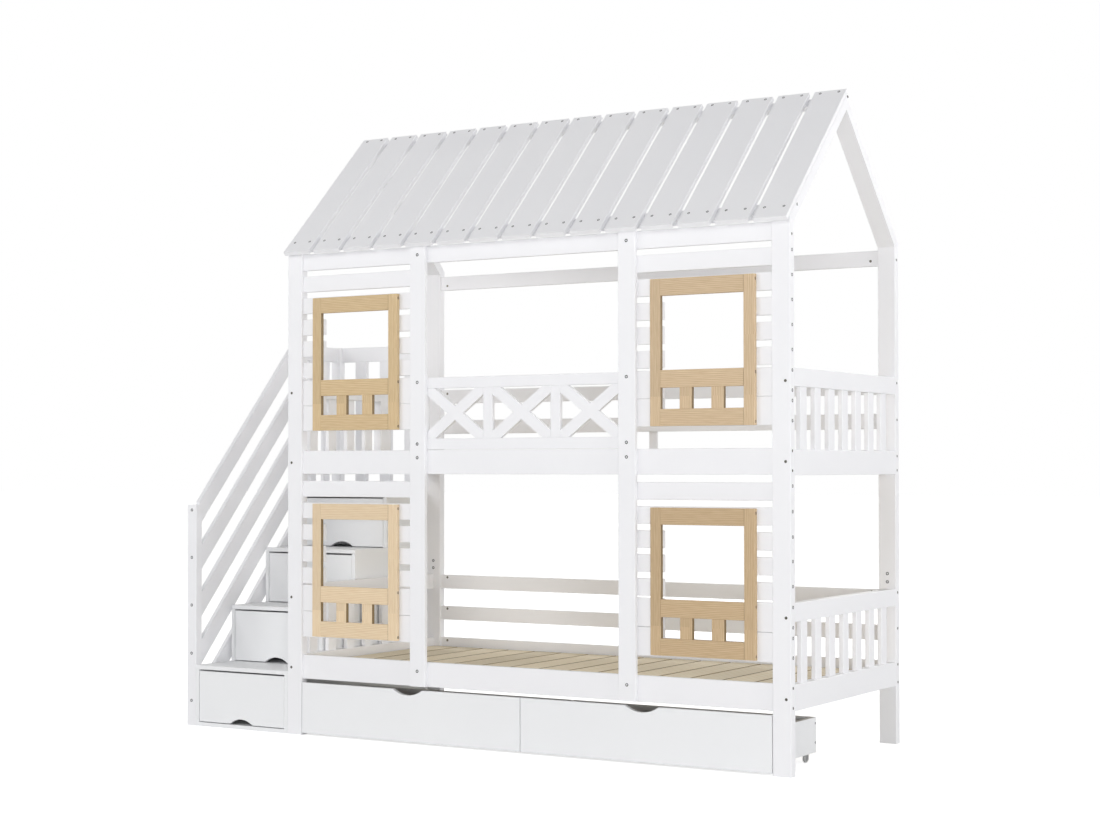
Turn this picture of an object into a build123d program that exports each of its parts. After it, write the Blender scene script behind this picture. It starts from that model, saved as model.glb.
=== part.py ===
from build123d import *
import math
import os

# House-shaped bunk bed with box stairs at its left end.
# Millimetres, +X to the right along the bed, +Y from the front to the rear, +Z up.
# The pieces are laid out from the bed's front left corner on the floor and moved at the
# end, so that the origin lies under the middle of the whole object.

# Overall frame
BED_LENGTH = 2080.0
BED_WIDTH = 970.0
POST_WIDTH = 66.0
POST_DEPTH = 35.0
POST_SPLIT = 610.0
POST_TOP = 1822.0
BOARD = 17.0
EASE = 1.5

# Middle posts stand on the face of the boards and lap over their ends
MIDDLE_POST_DEPTH = 18.0
MIDDLE_POST_FOOT = 214.0
BAY_WIDTH = 506.0
POST_LAP = 24.0
LAP_GAP = 1.5

# Long rails and beams
LOWER_RAIL_BOTTOM = 213.0
LOWER_RAIL_TOP = 303.0
UPPER_RAIL_BOTTOM = 988.0
UPPER_RAIL_TOP = 1076.0
FRONT_BEAM_HEIGHT = 62.0
REAR_BEAM_TOP = 1812.0
REAR_BEAM_HEIGHT = 57.0
GUARD_RAIL_HEIGHT = 57.0
UPPER_GUARD_RAIL_BOTTOMS = (1280.0, 1153.0)
LOWER_GUARD_RAIL_BOTTOMS = (506.0, 376.0)
GUARD_STRUT_WIDTH = 35.0
GUARD_STRUT_LEFT = 1045.0

# House wall boards
NARROW_BOARD = 60.0
NARROW_GAP = 22.0
NARROW_COUNT = 5
UPPER_BOARDS_TOP = 1738.0
LOWER_BOARDS_TOP = 962.0
UPPER_WIDE_BOARD = 95.0
LOWER_WIDE_BOARD = 98.0
UPPER_WALL_FOOT = 75.0
LOWER_WALL_FOOT = 68.0
WIDE_COUNT = 2
WIDE_GAP = 1.0

# Windows, seen from the front
WINDOW_WIDTH = 390.0
WINDOW_HEIGHT = 500.0
WINDOW_DEPTH = 18.0
WINDOW_STILE = 40.0
WINDOW_RAIL = 58.0
WINDOW_MIDDLE_RAIL = 60.0
WINDOW_LOW_OPENING = 72.0
WINDOW_BAR = 46.0
WINDOW_BAR_COUNT = 2
UPPER_WINDOW_RISE = 1.0
LOWER_WINDOW_RISE = 5.0

# Crossed guard over the middle bay
GUARD_BOTTOM = 1078.0
GUARD_TOP = 1340.0
GUARD_LATH = 40.0
GUARD_BAYS = 3

# End boards
END_RAIL_DEPTH = 35.0
UPPER_END_RAIL = (986.0, 1071.0)
LOWER_END_RAIL = (213.0, 300.0)
UPPER_END_TOP_RAIL = (1279.0, 1341.0)
LOWER_END_TOP_RAIL = (505.0, 567.0)
END_BAR_WIDTH = 50.0
END_BAR_COUNT = 7
HALF_GUARD_BAR_COUNT = 4
HALF_GUARD_END = 626.0
HALF_GUARD_STILE = 70.0

# Bed bases
LEDGE = 30.0
LEDGE_RISE = 7.0
SLAT_COUNT = 16
SLAT_GAP = 8.0
SLAT_THICKNESS = 16.0
SLAT_SIDE_GAP = 3.0
SLAT_END_GAP = 4.0

# Gables and roof
ROOF_PITCH = 44.1
RAFTER = 35.0
ROOF_BOARD_COUNT = 15
ROOF_BOARD_WIDTH = 120.0
ROOF_EAVE_OVERHANG = 25.0
EAVE_BATTEN_WIDTH = 60.0
RIDGE_BATTEN_WIDTH = 45.0
ROOF_BATTEN_DEPTH = 20.0
EAVE_BATTEN_FOOT = 12.0

# Stairs
STAIR_WIDTH = 456.0
STAIR_STEPS = 4
STAIR_RUN = 215.0
STAIR_RISE = 223.0
FIRST_TREAD_TOP = 238.0
PANEL = 16.0

# Stair drawers
DRAWER_SIDE_GAP = 2.0
DRAWER_TOP_GAP = 6.0
DRAWER_FOOT_GAP = 3.0
DRAWER_RUN_GAP = 0.3
DRAWER_FLOOR_OVER_PULL = 4.0
DRAWER_BOX_WALL = 12.0
DRAWER_BOX_FLOOR = 6.0
DRAWER_BOX_SIDE_GAP = 4.0
DRAWER_BOX_DROP = 35.0
DRAWER_BACK_GAP = 15.0
STAIR_PULL_WIDTH = 115.0
STAIR_PULL_RISE = 20.0

# Handrail beside the stairs
NEWEL_WIDTH = 45.0
NEWEL_DEPTH = 35.0
FRONT_NEWEL_TOP = 866.0
MIDDLE_NEWEL_FRONT = 655.0
MIDDLE_NEWEL_TOP = 1575.0
REAR_NEWEL_TOP = 1530.0
HANDRAIL_COUNT = 5
HANDRAIL_PITCH = 187.0
HANDRAIL_WIDTH = 64.0
HANDRAIL_SLOPE = 47.6
HANDRAIL_START = 878.0
LANDING_RAIL_HEIGHT = 62.0
LANDING_BAR_WIDTH = 43.0
LANDING_BAR_COUNT = 2
REAR_GUARD_BOARD = 60.0
REAR_GUARD_COUNT = 3

# Drawers under the bed
BED_FRONT_BOTTOM = 8.0
BED_FRONT_TOP = 199.0
BED_FRONT_GAP = 3.0
BED_BOX_BOTTOM = 34.0
BED_BOX_TOP = 155.0
BED_BOX_REAR = 372.0
BED_BOX_INSET = 4.0
BED_PULL_WIDTH = 130.0
BED_PULL_DROP = 21.0

# Casters
WHEEL_RADIUS = 15.0
WHEEL_WIDTH = 10.0
WHEEL_EASE = 1.5
AXLE_RADIUS = 3.0
AXLE_CLEARANCE = 0.05
FORK_PLATE = 1.2
FORK_SIDE_GAP = 0.5
FORK_LENGTH = 22.0
FORK_FOOT = 8.0
CASTER_INSET = 27.0
FRONT_CASTER_Y = 60.0
REAR_CASTER_Y = 343.0

# Frame bolts and barrel nuts
BOLT_HEAD_RADIUS = 5.0
BOLT_HEAD_HEIGHT = 3.0
BOLT_RECESS = 0.5
BOLT_SOCKET_RADIUS = 2.2
BOLT_SOCKET_DEPTH = 2.0
BORE_CLEARANCE = 0.3
FIXING_SIDES = 12
NUT_RADIUS = 5.0
NUT_DEPTH = 12.0
NUT_FROM_END = 32.0
FRONT_EDGE_BOLTS = (1778.0, 1066.0, 1001.0, 290.0, 225.0)
REAR_EDGE_BOLTS = (1774.0, 1321.0, 1186.0, 1053.0, 1001.0, 553.0, 422.0, 290.0, 225.0)
FACE_BOLTS = (1296.0, 1031.0, 520.0, 254.0)

# Values that follow from the ones above
REAR_FACE = BED_WIDTH - POST_DEPTH
SETBACK = (POST_DEPTH - BOARD) / 2
FRONT_BOARDS = (SETBACK, SETBACK + BOARD)
REAR_BOARDS = (REAR_FACE + SETBACK, REAR_FACE + SETBACK + BOARD)
UPPER_WIDE_TOP = (
    UPPER_RAIL_TOP + UPPER_WALL_FOOT + WIDE_COUNT * (UPPER_WIDE_BOARD + WIDE_GAP) - WIDE_GAP
)
LOWER_WIDE_TOP = (
    LOWER_RAIL_TOP + LOWER_WALL_FOOT + WIDE_COUNT * (LOWER_WIDE_BOARD + WIDE_GAP) - WIDE_GAP
)
UPPER_WINDOW_BOTTOM = UPPER_RAIL_TOP + UPPER_WALL_FOOT + UPPER_WINDOW_RISE
LOWER_WINDOW_BOTTOM = LOWER_RAIL_TOP + LOWER_WALL_FOOT + LOWER_WINDOW_RISE
MIDDLE_POSTS = (POST_WIDTH + BAY_WIDTH, BED_LENGTH - 2 * POST_WIDTH - BAY_WIDTH)
BAY_CENTRES = (POST_WIDTH + BAY_WIDTH / 2, BED_LENGTH - POST_WIDTH - BAY_WIDTH / 2)
BOARD_END = MIDDLE_POSTS[0] + POST_LAP
GUARD_LEFT = BOARD_END + LAP_GAP
GUARD_RIGHT = BED_LENGTH - GUARD_LEFT
RAFTER_DROP = RAFTER / math.cos(math.radians(ROOF_PITCH))
EAVE_TOP = POST_TOP - POST_DEPTH * math.tan(math.radians(ROOF_PITCH)) + RAFTER_DROP
RIDGE_Y = BED_WIDTH / 2
RIDGE_TOP = EAVE_TOP + RIDGE_Y * math.tan(math.radians(ROOF_PITCH))
ROOF_PLANE = Plane(
    origin=(0, 0, EAVE_TOP),
    x_dir=(1, 0, 0),
    z_dir=(0, -math.sin(math.radians(ROOF_PITCH)), math.cos(math.radians(ROOF_PITCH))),
)
ROOF_TOP_END = (
    RIDGE_Y / math.cos(math.radians(ROOF_PITCH))
    + BOARD * math.tan(math.radians(ROOF_PITCH))
)
EAVE_FRONT = -(
    ROOF_EAVE_OVERHANG * math.cos(math.radians(ROOF_PITCH))
    + BOARD * math.sin(math.radians(ROOF_PITCH))
)
STAIR_LEFT = -STAIR_WIDTH
STAIR_REAR = REAR_FACE
NEWEL_LEFT = STAIR_LEFT - NEWEL_WIDTH
LANDING_TOP = FIRST_TREAD_TOP + (STAIR_STEPS - 1) * STAIR_RISE
CENTRE = Pos(-(NEWEL_LEFT + BED_LENGTH) / 2, -(EAVE_FRONT + BED_WIDTH) / 2, 0)


def block(x, y, z):
    """A plain block between two limits on each axis."""
    size = Box(x[1] - x[0], y[1] - y[0], z[1] - z[0], align=(Align.MIN,) * 3)
    return Pos(x[0], y[0], z[0]) * size


def plank(x, y, z, ease=EASE):
    """A board between two limits on each axis, with its long edges eased."""
    lengths = (x[1] - x[0], y[1] - y[0], z[1] - z[0])
    grain = (Axis.X, Axis.Y, Axis.Z)[lengths.index(max(lengths))]
    solid = block(x, y, z)
    return chamfer(solid.edges().filter_by(grain), ease)


def mirrored(solid):
    """The same piece at the other end of the bed."""
    return mirror(solid, about=Plane((BED_LENGTH / 2, 0, 0), z_dir=(1, 0, 0)))


def side_profile(points, x, thickness):
    """A panel cut to a profile in the Y-Z plane and extruded along X."""
    face = Plane((x, 0, 0), x_dir=(0, 1, 0), z_dir=(1, 0, 0)) * make_face(
        Polyline(*points, close=True)
    )
    return extrude(face, thickness)


def save(node, solids):
    """Move the finished solids to the shared origin and write one file."""
    flat = [solid for piece in solids for solid in piece.solids()]
    moved = [CENTRE * solid for solid in flat]
    export_step(Compound(moved) if len(moved) > 1 else moved[0], f"parts/{node}.step")


# Bolts and nuts
def bolt_places():
    """Head centre and inward direction of each frame bolt."""
    front_y = POST_DEPTH / 2
    rear_y = REAR_FACE + POST_DEPTH / 2
    end_x = END_RAIL_DEPTH / 2
    places = []
    for z in FRONT_EDGE_BOLTS:
        places.append(((0, front_y, z), (1, 0, 0)))
        places.append(((BED_LENGTH, front_y, z), (-1, 0, 0)))
    for z in REAR_EDGE_BOLTS:
        places.append(((0, rear_y, z), (1, 0, 0)))
        places.append(((BED_LENGTH, rear_y, z), (-1, 0, 0)))
    for z in FACE_BOLTS:
        places.append(((end_x, 0, z), (0, 1, 0)))
        places.append(((BED_LENGTH - end_x, 0, z), (0, 1, 0)))
        if z != FACE_BOLTS[0]:
            places.append(((end_x, BED_WIDTH, z), (0, -1, 0)))
        places.append(((BED_LENGTH - end_x, BED_WIDTH, z), (0, -1, 0)))
    return places


def inward_plug(point, direction, radius, start, depth, sides=FIXING_SIDES):
    """A many-sided plug that runs inwards from a point on a face."""
    base = Plane(origin=point, z_dir=direction) * Pos(0, 0, start)
    return extrude(base * RegularPolygon(radius, sides), depth)


def bolt_bores():
    """The counterbores that the bolt heads sit in."""
    depth = BOLT_RECESS + BOLT_HEAD_HEIGHT
    radius = BOLT_HEAD_RADIUS + BORE_CLEARANCE
    return [inward_plug(p, d, radius, 0, depth) for p, d in bolt_places()]


def bolt_heads():
    """Round socket heads, just below the face of the post."""
    heads = []
    for point, direction in bolt_places():
        head = inward_plug(
            point, direction, BOLT_HEAD_RADIUS, BOLT_RECESS, BOLT_HEAD_HEIGHT
        )
        socket = inward_plug(
            point, direction, BOLT_SOCKET_RADIUS, BOLT_RECESS, BOLT_SOCKET_DEPTH, sides=6
        )
        heads.append(head - socket)
    return heads


def nut_places():
    """Centre of each barrel nut on the inner face of its rail."""
    places = []
    for x in (POST_WIDTH + NUT_FROM_END, BED_LENGTH - POST_WIDTH - NUT_FROM_END):
        for z in REAR_EDGE_BOLTS:
            places.append(((x, REAR_BOARDS[0], z), (0, 1, 0)))
        for z in FRONT_EDGE_BOLTS:
            places.append(((x, FRONT_BOARDS[1], z), (0, -1, 0)))
    return places


def nut_bores():
    """The blind holes that the barrel nuts sit in."""
    radius = NUT_RADIUS + BORE_CLEARANCE
    return [inward_plug(p, d, radius, 0, NUT_DEPTH) for p, d in nut_places()]


def barrel_nuts():
    """Cross dowel nuts, seated on the floor of their holes."""
    return [
        inward_plug(p, d, NUT_RADIUS, BOLT_RECESS, NUT_DEPTH - BOLT_RECESS)
        for p, d in nut_places()
    ]


def drilled(solid, bores):
    """The piece with every bore that meets it cut out."""
    box = solid.bounding_box()
    for bore in bores:
        hole = bore.bounding_box()
        apart = (
            hole.max.X <= box.min.X
            or hole.min.X >= box.max.X
            or hole.max.Y <= box.min.Y
            or hole.min.Y >= box.max.Y
            or hole.max.Z <= box.min.Z
            or hole.min.Z >= box.max.Z
        )
        if not apart:
            solid = solid - bore
    return solid


# Posts
def corner_post(y, z):
    """Half of a left corner post; the boards meet its inner edge at mid depth."""
    return plank((0, POST_WIDTH), y, z)


def middle_posts():
    """The two flat posts beside the middle bay, on the face of the rails."""
    y = (FRONT_BOARDS[0] - MIDDLE_POST_DEPTH, FRONT_BOARDS[0])
    z = (MIDDLE_POST_FOOT, POST_TOP)
    return [plank((x, x + POST_WIDTH), y, z) for x in MIDDLE_POSTS]


# Rails, beams and guards
def front_rail(z):
    """A long front board between the corner posts, at the middle of their depth."""
    return plank((POST_WIDTH, BED_LENGTH - POST_WIDTH), FRONT_BOARDS, z)


def rear_rail(z):
    """A long rear board between the corner posts, at the middle of their depth."""
    return plank((POST_WIDTH, BED_LENGTH - POST_WIDTH), REAR_BOARDS, z)


def rear_guard(bottoms):
    """Guard rails along the rear of one bed."""
    return [rear_rail((bottom, bottom + GUARD_RAIL_HEIGHT)) for bottom in bottoms]


def guard_strut():
    """Upright that ties the upper guard rails to the side rail from behind."""
    x = (GUARD_STRUT_LEFT, GUARD_STRUT_LEFT + GUARD_STRUT_WIDTH)
    top = UPPER_GUARD_RAIL_BOTTOMS[0] + GUARD_RAIL_HEIGHT
    return plank(x, (REAR_BOARDS[1], BED_WIDTH), (UPPER_RAIL_BOTTOM, top))


# House walls
def window_cut(centre, bottom):
    """The space behind a window's panes, cut from the wall boards."""
    half = WINDOW_WIDTH / 2 - WINDOW_STILE
    z = (bottom + WINDOW_RAIL, bottom + WINDOW_HEIGHT - WINDOW_RAIL)
    return block((centre - half, centre + half), FRONT_BOARDS, z)


def wall_boards(boards_top, wide_top, wide_height, window_bottom):
    """Boards of the left bay on one floor, cut flush round the window."""
    heights = []
    for n in range(NARROW_COUNT):
        top = boards_top - n * (NARROW_BOARD + NARROW_GAP)
        heights.append((top - NARROW_BOARD, top))
    for n in range(WIDE_COUNT):
        top = wide_top - n * (wide_height + WIDE_GAP)
        heights.append((top - wide_height, top))
    cut = window_cut(BAY_CENTRES[0], window_bottom)
    pieces = []
    for z in heights:
        full = plank((POST_WIDTH, BOARD_END), FRONT_BOARDS, z)
        pieces.extend((full - cut).solids())
    return pieces


def window(centre, bottom):
    """Framed window: stiles, three rails and short bars in the low row."""
    y = (FRONT_BOARDS[0] - WINDOW_DEPTH, FRONT_BOARDS[0])
    left = centre - WINDOW_WIDTH / 2
    right = centre + WINDOW_WIDTH / 2
    top = bottom + WINDOW_HEIGHT
    inner = (left + WINDOW_STILE, right - WINDOW_STILE)
    low = bottom + WINDOW_RAIL
    middle = low + WINDOW_LOW_OPENING
    pieces = [
        plank((left, inner[0]), y, (bottom, top)),
        plank((inner[1], right), y, (bottom, top)),
        plank(inner, y, (bottom, low)),
        plank(inner, y, (middle, middle + WINDOW_MIDDLE_RAIL)),
        plank(inner, y, (top - WINDOW_RAIL, top)),
    ]
    clear = inner[1] - inner[0] - WINDOW_BAR_COUNT * WINDOW_BAR
    gap = clear / (WINDOW_BAR_COUNT + 1)
    for n in range(WINDOW_BAR_COUNT):
        x = inner[0] + gap + n * (gap + WINDOW_BAR)
        pieces.append(plank((x, x + WINDOW_BAR), y, (low, middle)))
    return pieces


def guard_lath(centre, height, width, angle, limits):
    """One diagonal of a cross, trimmed to its bay."""
    reach = 2 * max(width, height)
    lath = Box(reach, BOARD, GUARD_LATH)
    placed = Pos(centre, sum(FRONT_BOARDS) / 2, height) * Rot(0, angle, 0) * lath
    return placed & limits


def cross_guard():
    """Guard of the middle bay: two rails, uprights and halved crosses."""
    y = FRONT_BOARDS
    low = GUARD_BOTTOM + GUARD_LATH
    high = GUARD_TOP - GUARD_LATH
    pieces = [
        plank((GUARD_LEFT, GUARD_RIGHT), y, (GUARD_BOTTOM, low)),
        plank((GUARD_LEFT, GUARD_RIGHT), y, (high, GUARD_TOP)),
    ]
    pitch = (GUARD_RIGHT - GUARD_LEFT - GUARD_LATH) / GUARD_BAYS
    for n in range(GUARD_BAYS + 1):
        x = GUARD_LEFT + n * pitch
        pieces.append(plank((x, x + GUARD_LATH), y, (low, high)))
    width = pitch - GUARD_LATH
    angle = math.degrees(math.atan2(high - low, width))
    middle = (low + high) / 2
    for n in range(GUARD_BAYS):
        left = GUARD_LEFT + n * pitch + GUARD_LATH
        bay = (left, left + width)
        limits = block(bay, y, (low, high))
        front_half = block(bay, (y[0], y[0] + BOARD / 2), (low, high))
        rear_half = block(bay, (y[0] + BOARD / 2, y[1]), (low, high))
        centre = left + width / 2
        falling = guard_lath(centre, middle, width, angle, limits)
        rising = guard_lath(centre, middle, width, -angle, limits)
        pieces.append(falling - (rising & rear_half))
        pieces.append(rising - (falling & front_half))
    return pieces


# End boards
def end_bars(count, z):
    """Upright bars of an end board, evenly spaced along the whole end."""
    length = REAR_FACE - POST_DEPTH
    gap = (length - END_BAR_COUNT * END_BAR_WIDTH) / (END_BAR_COUNT + 1)
    inset = (END_RAIL_DEPTH - BOARD) / 2
    bars = []
    for n in range(count):
        y = POST_DEPTH + gap + n * (gap + END_BAR_WIDTH)
        bars.append(plank((inset, inset + BOARD), (y, y + END_BAR_WIDTH), z))
    return bars


def end_board(low, high):
    """Full end board at the left end: two thick rails with bars between."""
    x = (0, END_RAIL_DEPTH)
    y = (POST_DEPTH, REAR_FACE)
    return [plank(x, y, low), plank(x, y, high)] + end_bars(END_BAR_COUNT, (low[1], high[0]))


def half_end_board():
    """Upper left end board, open at the rear where the stairs arrive."""
    x = (0, END_RAIL_DEPTH)
    low = UPPER_END_RAIL
    high = UPPER_END_TOP_RAIL
    stile_start = HALF_GUARD_END - HALF_GUARD_STILE
    pieces = [
        plank(x, (POST_DEPTH, REAR_FACE), low),
        plank(x, (POST_DEPTH, stile_start), high),
        plank(x, (stile_start, HALF_GUARD_END), (low[1], high[1])),
    ]
    return pieces + end_bars(HALF_GUARD_BAR_COUNT, (low[1], high[0]))


# Bed bases
def slat_ledges(rail_bottom):
    """Ledges along the inner faces of the side rails."""
    x = (POST_WIDTH, BED_LENGTH - POST_WIDTH)
    z = (rail_bottom + LEDGE_RISE, rail_bottom + LEDGE_RISE + LEDGE)
    return [
        plank(x, (FRONT_BOARDS[1], FRONT_BOARDS[1] + LEDGE), z),
        plank(x, (REAR_BOARDS[0] - LEDGE, REAR_BOARDS[0]), z),
    ]


def bed_slats(rail_bottom):
    """Cross slats that lie on the ledges."""
    start = END_RAIL_DEPTH + SLAT_END_GAP
    clear = BED_LENGTH - 2 * start - (SLAT_COUNT - 1) * SLAT_GAP
    width = clear / SLAT_COUNT
    bottom = rail_bottom + LEDGE_RISE + LEDGE
    y = (POST_DEPTH + SLAT_SIDE_GAP, REAR_FACE - SLAT_SIDE_GAP)
    slats = []
    for n in range(SLAT_COUNT):
        x = start + n * (width + SLAT_GAP)
        slats.append(plank((x, x + width), y, (bottom, bottom + SLAT_THICKNESS)))
    return slats


# Gables and roof
def gable():
    """Left pair of rafters, seat-cut on the posts and plumb-cut at the ridge."""
    front = side_profile(
        (
            (0, POST_TOP),
            (POST_DEPTH, POST_TOP),
            (RIDGE_Y, RIDGE_TOP - RAFTER_DROP),
            (RIDGE_Y, RIDGE_TOP),
            (0, EAVE_TOP),
        ),
        0,
        POST_WIDTH,
    )
    rear = mirror(front, about=Plane((0, RIDGE_Y, 0), z_dir=(0, 1, 0)))
    return [front, rear]


def roof_boards():
    """Boards down the front slope, flush with both gables."""
    pitch = (BED_LENGTH - ROOF_BOARD_WIDTH) / (ROOF_BOARD_COUNT - 1)
    boards = []
    for n in range(ROOF_BOARD_COUNT):
        x = n * pitch
        flat = plank((x, x + ROOF_BOARD_WIDTH), (-ROOF_EAVE_OVERHANG, ROOF_TOP_END), (0, BOARD))
        boards.append(ROOF_PLANE * flat)
    return boards


def roof_battens():
    """Ridge and eave battens that carry the boards between the gables."""
    x = (POST_WIDTH, BED_LENGTH - POST_WIDTH)
    ridge = RIDGE_Y / math.cos(math.radians(ROOF_PITCH))
    z = (-ROOF_BATTEN_DEPTH, 0)
    low = plank(x, (EAVE_BATTEN_FOOT, EAVE_BATTEN_FOOT + EAVE_BATTEN_WIDTH), z)
    high = plank(x, (ridge - RIDGE_BATTEN_WIDTH, ridge), z)
    return [ROOF_PLANE * low, ROOF_PLANE * high]


# Stairs
def tread_top(step):
    """Height of a tread's walking surface, counted from zero."""
    return FIRST_TREAD_TOP + step * STAIR_RISE


def stair_side(x):
    """Stepped side panel under the treads."""
    points = [(0, 0)]
    for n in range(STAIR_STEPS):
        under = tread_top(n) - PANEL
        points.append((n * STAIR_RUN, under))
        end = (n + 1) * STAIR_RUN if n < STAIR_STEPS - 1 else STAIR_REAR
        points.append((end, under))
    points.append((STAIR_REAR, 0))
    return side_profile(points, x, PANEL)


def tread(n):
    """A tread that caps both side panels and runs back between them as a shelf."""
    front = n * STAIR_RUN
    last = n == STAIR_STEPS - 1
    cap_end = STAIR_REAR if last else (n + 1) * STAIR_RUN
    z = (tread_top(n) - PANEL, tread_top(n))
    cap = block((STAIR_LEFT, 0), (front, cap_end), z)
    cap = chamfer(cap.edges().filter_by(Axis.X).sort_by(Axis.Y)[:2], EASE)
    if last:
        return cap
    inner = (STAIR_LEFT + PANEL, -PANEL)
    return cap + block(inner, (cap_end, STAIR_REAR - PANEL), z)


def stair_base_and_back():
    """Floor panel and rear panel between the sides."""
    inner = (STAIR_LEFT + PANEL, -PANEL)
    top = LANDING_TOP - PANEL
    return [
        block(inner, (0, STAIR_REAR), (0, PANEL)),
        block(inner, (STAIR_REAR - PANEL, STAIR_REAR), (PANEL, top)),
    ]


def pull_cut(x, z, width, rise, y):
    """A shallow round cut in a drawer front's edge, as a finger pull."""
    radius = (width * width / 4 + rise * rise) / (2 * abs(rise))
    centre = z - math.copysign(radius - abs(rise), rise)
    plane = Plane((x, y[0], centre), x_dir=(1, 0, 0), z_dir=(0, 1, 0))
    return extrude(plane * Circle(radius), y[1] - y[0])


def drawer_box(x, y, z, wall, floor, floor_rise=0):
    """Open box behind a drawer front: sides, back and a floor let in between them."""
    left = block((x[0], x[0] + wall), y, z)
    right = block((x[1] - wall, x[1]), y, z)
    inner = (x[0] + wall, x[1] - wall)
    back = block(inner, (y[1] - wall, y[1]), z)
    base = block(inner, (y[0], y[1] - wall), (z[0] + floor_rise, z[0] + floor_rise + floor))
    return [left, right, back, base]


def stair_drawer(n):
    """Drawer under one tread, with its front set between the side panels."""
    front_y = n * STAIR_RUN
    floor_z = PANEL if n == 0 else tread_top(n - 1)
    z = (floor_z + DRAWER_FOOT_GAP, tread_top(n) - PANEL - DRAWER_TOP_GAP)
    inner = (STAIR_LEFT + PANEL, -PANEL)
    x = (inner[0] + DRAWER_SIDE_GAP, inner[1] - DRAWER_SIDE_GAP)
    y = (front_y, front_y + PANEL)
    front = block(x, y, z)
    front = chamfer(front.faces().sort_by(Axis.Y)[0].edges(), EASE)
    middle = (x[0] + x[1]) / 2
    front = front - pull_cut(middle, z[0], STAIR_PULL_WIDTH, STAIR_PULL_RISE, y)
    box_x = (inner[0] + DRAWER_BOX_SIDE_GAP, inner[1] - DRAWER_BOX_SIDE_GAP)
    box_y = (y[1], STAIR_REAR - PANEL - DRAWER_BACK_GAP)
    box_z = (floor_z + DRAWER_RUN_GAP, z[1] - DRAWER_BOX_DROP)
    floor_rise = DRAWER_FOOT_GAP + STAIR_PULL_RISE + DRAWER_FLOOR_OVER_PULL
    walls = (DRAWER_BOX_WALL, DRAWER_BOX_FLOOR)
    return [front] + drawer_box(box_x, box_y, box_z, *walls, floor_rise)


# Handrail and landing guards
def newels():
    """Handrail posts at the front, beside the landing and at the rear."""
    x = (NEWEL_LEFT, STAIR_LEFT)
    places = (
        (0, FRONT_NEWEL_TOP),
        (MIDDLE_NEWEL_FRONT, MIDDLE_NEWEL_TOP),
        (BED_WIDTH - NEWEL_DEPTH, REAR_NEWEL_TOP),
    )
    return [plank(x, (y, y + NEWEL_DEPTH), (0, top)) for y, top in places]


def handrail_boards():
    """Slanted boards between the front and middle newels, plumb-cut at both ends."""
    start = NEWEL_DEPTH
    end = MIDDLE_NEWEL_FRONT
    climb = (end - start) * math.tan(math.radians(HANDRAIL_SLOPE))
    drop = HANDRAIL_WIDTH / math.cos(math.radians(HANDRAIL_SLOPE))
    x = STAIR_LEFT - (NEWEL_WIDTH + BOARD) / 2
    boards = []
    for n in range(HANDRAIL_COUNT):
        top = HANDRAIL_START - n * HANDRAIL_PITCH
        points = ((start, top - drop), (end, top + climb - drop), (end, top + climb), (start, top))
        boards.append(side_profile(points, x, BOARD))
    return boards


def landing_guards():
    """Guards along the outer side and the rear of the landing."""
    side_x = STAIR_LEFT - (NEWEL_WIDTH + BOARD) / 2
    x = (side_x, side_x + BOARD)
    y = (MIDDLE_NEWEL_FRONT + NEWEL_DEPTH, BED_WIDTH - NEWEL_DEPTH)
    high = (REAR_NEWEL_TOP - LANDING_RAIL_HEIGHT, REAR_NEWEL_TOP)
    low = (LANDING_TOP - LANDING_RAIL_HEIGHT, LANDING_TOP)
    pieces = [plank(x, y, low), plank(x, y, high)]
    clear = y[1] - y[0] - LANDING_BAR_COUNT * LANDING_BAR_WIDTH
    gap = clear / (LANDING_BAR_COUNT + 1)
    for n in range(LANDING_BAR_COUNT):
        start = y[0] + gap + n * (gap + LANDING_BAR_WIDTH)
        pieces.append(plank(x, (start, start + LANDING_BAR_WIDTH), (low[1], high[0])))
    rear_x = (STAIR_LEFT, 0)
    rear_y = (BED_WIDTH - BOARD, BED_WIDTH)
    pieces.append(plank(rear_x, rear_y, low))
    pieces.append(plank(rear_x, rear_y, high))
    clear = STAIR_WIDTH - REAR_GUARD_COUNT * REAR_GUARD_BOARD
    gap = clear / (REAR_GUARD_COUNT + 1)
    for n in range(REAR_GUARD_COUNT):
        start = STAIR_LEFT + gap + n * (gap + REAR_GUARD_BOARD)
        pieces.append(plank((start, start + REAR_GUARD_BOARD), rear_y, (low[1], high[0])))
    return pieces


# Drawers under the bed
def caster_places(x):
    """Wheel centres under one drawer, as X and Y."""
    inset = (x[0] + CASTER_INSET, x[1] - CASTER_INSET)
    return [(cx, cy) for cy in (FRONT_CASTER_Y, REAR_CASTER_Y) for cx in inset]


def caster_fork(cx, cy):
    """Folded metal fork with the axle pin across it."""
    half = WHEEL_WIDTH / 2 + FORK_SIDE_GAP
    outer = half + FORK_PLATE
    y = (cy - FORK_LENGTH / 2, cy + FORK_LENGTH / 2)
    shell = block((cx - outer, cx + outer), y, (FORK_FOOT, BED_BOX_BOTTOM))
    hollow = block((cx - half, cx + half), y, (FORK_FOOT, BED_BOX_BOTTOM - FORK_PLATE))
    fork = shell - hollow
    pin = Pos(cx, cy, WHEEL_RADIUS) * Rot(0, 90, 0) * Cylinder(AXLE_RADIUS, 2 * outer)
    return fork + pin


def caster_wheel(cx, cy):
    """Small drawer wheel with eased tread edges and an axle bore."""
    wheel = Cylinder(WHEEL_RADIUS, WHEEL_WIDTH)
    wheel = chamfer(wheel.edges().filter_by(GeomType.CIRCLE), WHEEL_EASE)
    wheel = wheel - Cylinder(AXLE_RADIUS + AXLE_CLEARANCE, WHEEL_WIDTH)
    return Pos(cx, cy, WHEEL_RADIUS) * Rot(0, 90, 0) * wheel


def bed_box_limits(front_x):
    """Outer limits of the box behind one bed drawer front, along X."""
    return (front_x[0] + BED_BOX_INSET, front_x[1] - BED_BOX_INSET)


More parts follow.
